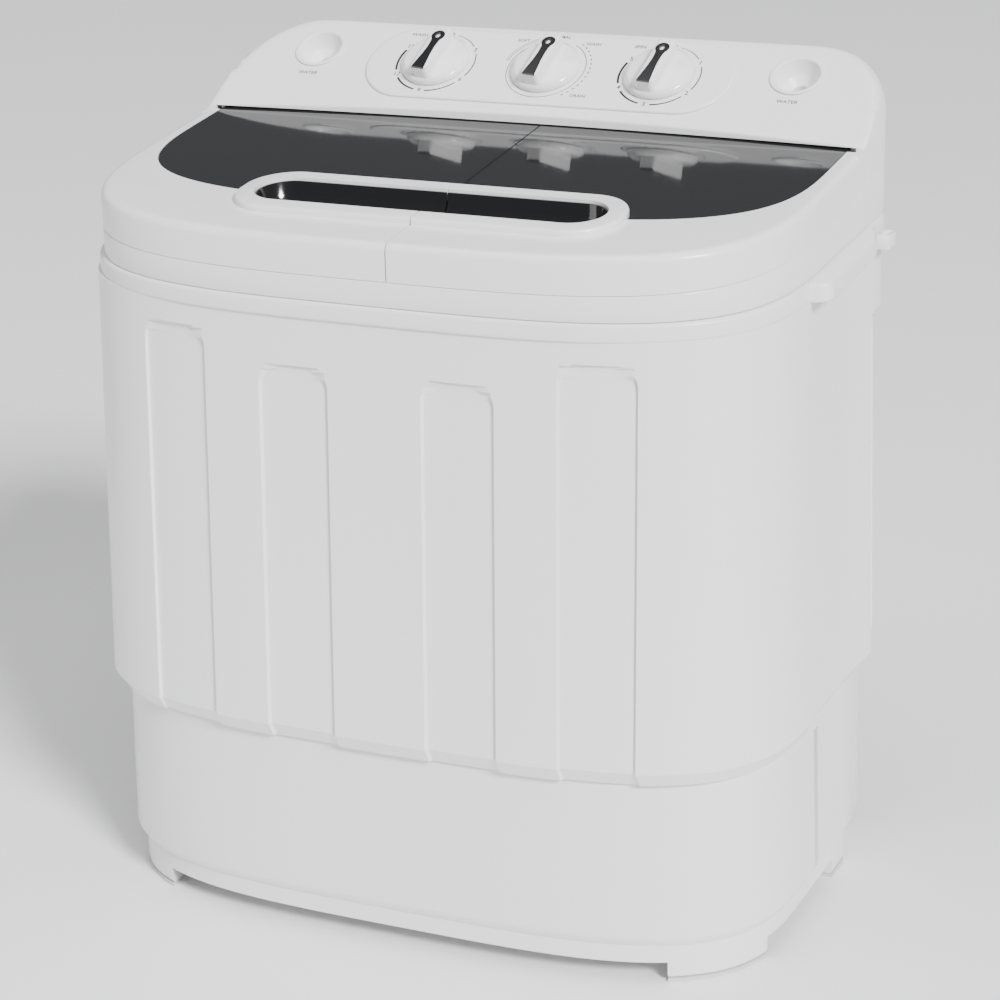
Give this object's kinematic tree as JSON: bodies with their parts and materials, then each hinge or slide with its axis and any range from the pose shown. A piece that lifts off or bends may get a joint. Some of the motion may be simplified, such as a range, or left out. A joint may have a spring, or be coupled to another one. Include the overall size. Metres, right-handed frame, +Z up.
{
  "type": "twin tub washer",
  "caption": "Portable twin tub washing machine: wash tub with pulsator, spin basket, hinged smoked lids, sloping console with turning knobs, flared body on a footed base.",
  "frame": {"origin": "on the floor, under the middle of the whole machine's box", "axes": "+X to the right seen from the front, +Y to the rear, +Z up"},
  "size_m": [0.597, 0.381, 0.652],
  "materials": {
    "white_gloss": "moulded white plastic with a soft gloss",
    "tub_plastic": "moulded off-white plastic, slightly cool",
    "rubber_feet": "matt black rubber",
    "smoked_window": "smoked clear plastic, polished",
    "black_gloss": "polished black plastic",
    "steel": "plain turned or drawn steel",
    "pale_blue": "moulded pale blue plastic",
    "unit_plastic": "dull cream moulding",
    "dark_plastic": "glass-filled dark grey plastic",
    "motor_metal": "grey lacquered steel can",
    "black_rubber": "matt black rubber",
    "grey_plastic": "grey moulded plastic"
  },
  "bodies": {
    "root": {"base_pan": "white_gloss", "base_shell": "white_gloss", "body_shell": "white_gloss", "top_frame": "white_gloss", "tub_deck": "white_gloss", "console_housing": "white_gloss", "dial_plate": "white_gloss", "rear_cover": "white_gloss", "hose_hook": "white_gloss", "water_inlet_left": "white_gloss", "water_inlet_right": "white_gloss", "wash_tub": "tub_plastic", "spin_tub": "tub_plastic", "foot_pad_front_left": "rubber_feet", "foot_pad_front_right": "rubber_feet", "foot_pad_rear_left": "rubber_feet", "foot_pad_rear_right": "rubber_feet", "spin_motor_plate": "steel", "spin_spring_1": "steel", "spin_spring_2": "steel", "spin_spring_3": "steel", "lint_filter": "pale_blue", "wash_timer_unit": "unit_plastic", "drain_selector_unit": "unit_plastic", "spin_timer_unit": "unit_plastic", "capacitor": "unit_plastic", "wash_bearing_housing": "dark_plastic", "wash_motor": "motor_metal", "spin_motor": "motor_metal", "drive_belt": "black_rubber", "spin_bellows": "black_rubber", "cord_gland": "black_rubber", "drain_outlet": "grey_plastic"},
    "wash_lid": {"wash_lid_frame": "white_gloss", "wash_lid_window": "smoked_window", "wash_lid_handle_cup": "black_gloss", "wash_hinge_pin_left": "steel", "wash_hinge_pin_right": "steel"},
    "spin_lid": {"spin_lid_frame": "white_gloss", "spin_lid_window": "smoked_window", "spin_lid_handle_cup": "black_gloss", "spin_hinge_pin_left": "steel", "spin_hinge_pin_right": "steel"},
    "wash_timer": {"wash_timer_knob": "white_gloss", "wash_timer_knob_inlay": "black_gloss", "wash_timer_shaft": "steel"},
    "selector": {"selector_knob": "white_gloss", "selector_knob_inlay": "black_gloss", "selector_shaft": "steel"},
    "spin_timer": {"spin_timer_knob": "white_gloss", "spin_timer_knob_inlay": "black_gloss", "spin_timer_shaft": "steel"},
    "agitator": {"pulsator": "pale_blue", "pulsator_shaft": "steel", "pulsator_screw": "steel", "pulsator_pulley": "dark_plastic"},
    "motor_pulley": {"wash_motor_pulley": "motor_metal"},
    "basket": {"spin_basket": "tub_plastic", "spin_shaft": "steel", "brake_drum": "motor_metal"}
  },
  "joints": [
    {"name": "wash_lid_hinge", "type": "hinge", "parent": "root", "child": "wash_lid", "pos_m": [-0.128, 0.0885, 0.581], "axis": [-1, 0, 0], "range_deg": [0, 95]},
    {"name": "spin_lid_hinge", "type": "hinge", "parent": "root", "child": "spin_lid", "pos_m": [0.141, 0.0885, 0.581], "axis": [-1, 0, 0], "range_deg": [0, 95]},
    {"name": "wash_timer_turn", "type": "hinge", "parent": "root", "child": "wash_timer", "pos_m": [-0.097, 0.1485, 0.6223], "axis": [0, -0.527, 0.8499], "range_deg": [-300, 0]},
    {"name": "selector_turn", "type": "hinge", "parent": "root", "child": "selector", "pos_m": [0, 0.1485, 0.6223], "axis": [0, -0.527, 0.8499], "range_deg": [-75, 75]},
    {"name": "spin_timer_turn", "type": "hinge", "parent": "root", "child": "spin_timer", "pos_m": [0.097, 0.1485, 0.6223], "axis": [0, -0.527, 0.8499], "range_deg": [-290, 0]},
    {"name": "pulsator_spin", "type": "hinge", "parent": "root", "child": "agitator", "pos_m": [-0.126, -0.028, 0.2], "axis": [0, 0, 1], "continuous": true},
    {"name": "wash_motor_spin", "type": "hinge", "parent": "root", "child": "motor_pulley", "pos_m": [-0.046, 0.052, 0.14], "axis": [0, 0, 1], "continuous": true},
    {"name": "basket_spin", "type": "hinge", "parent": "root", "child": "basket", "pos_m": [0.146, -0.028, 0.3], "axis": [0, 0, 1], "continuous": true}
  ],
  "couplings": [
    {"joint": "wash_motor_spin", "follows": "pulsator_spin", "ratio": 4}
  ]
}
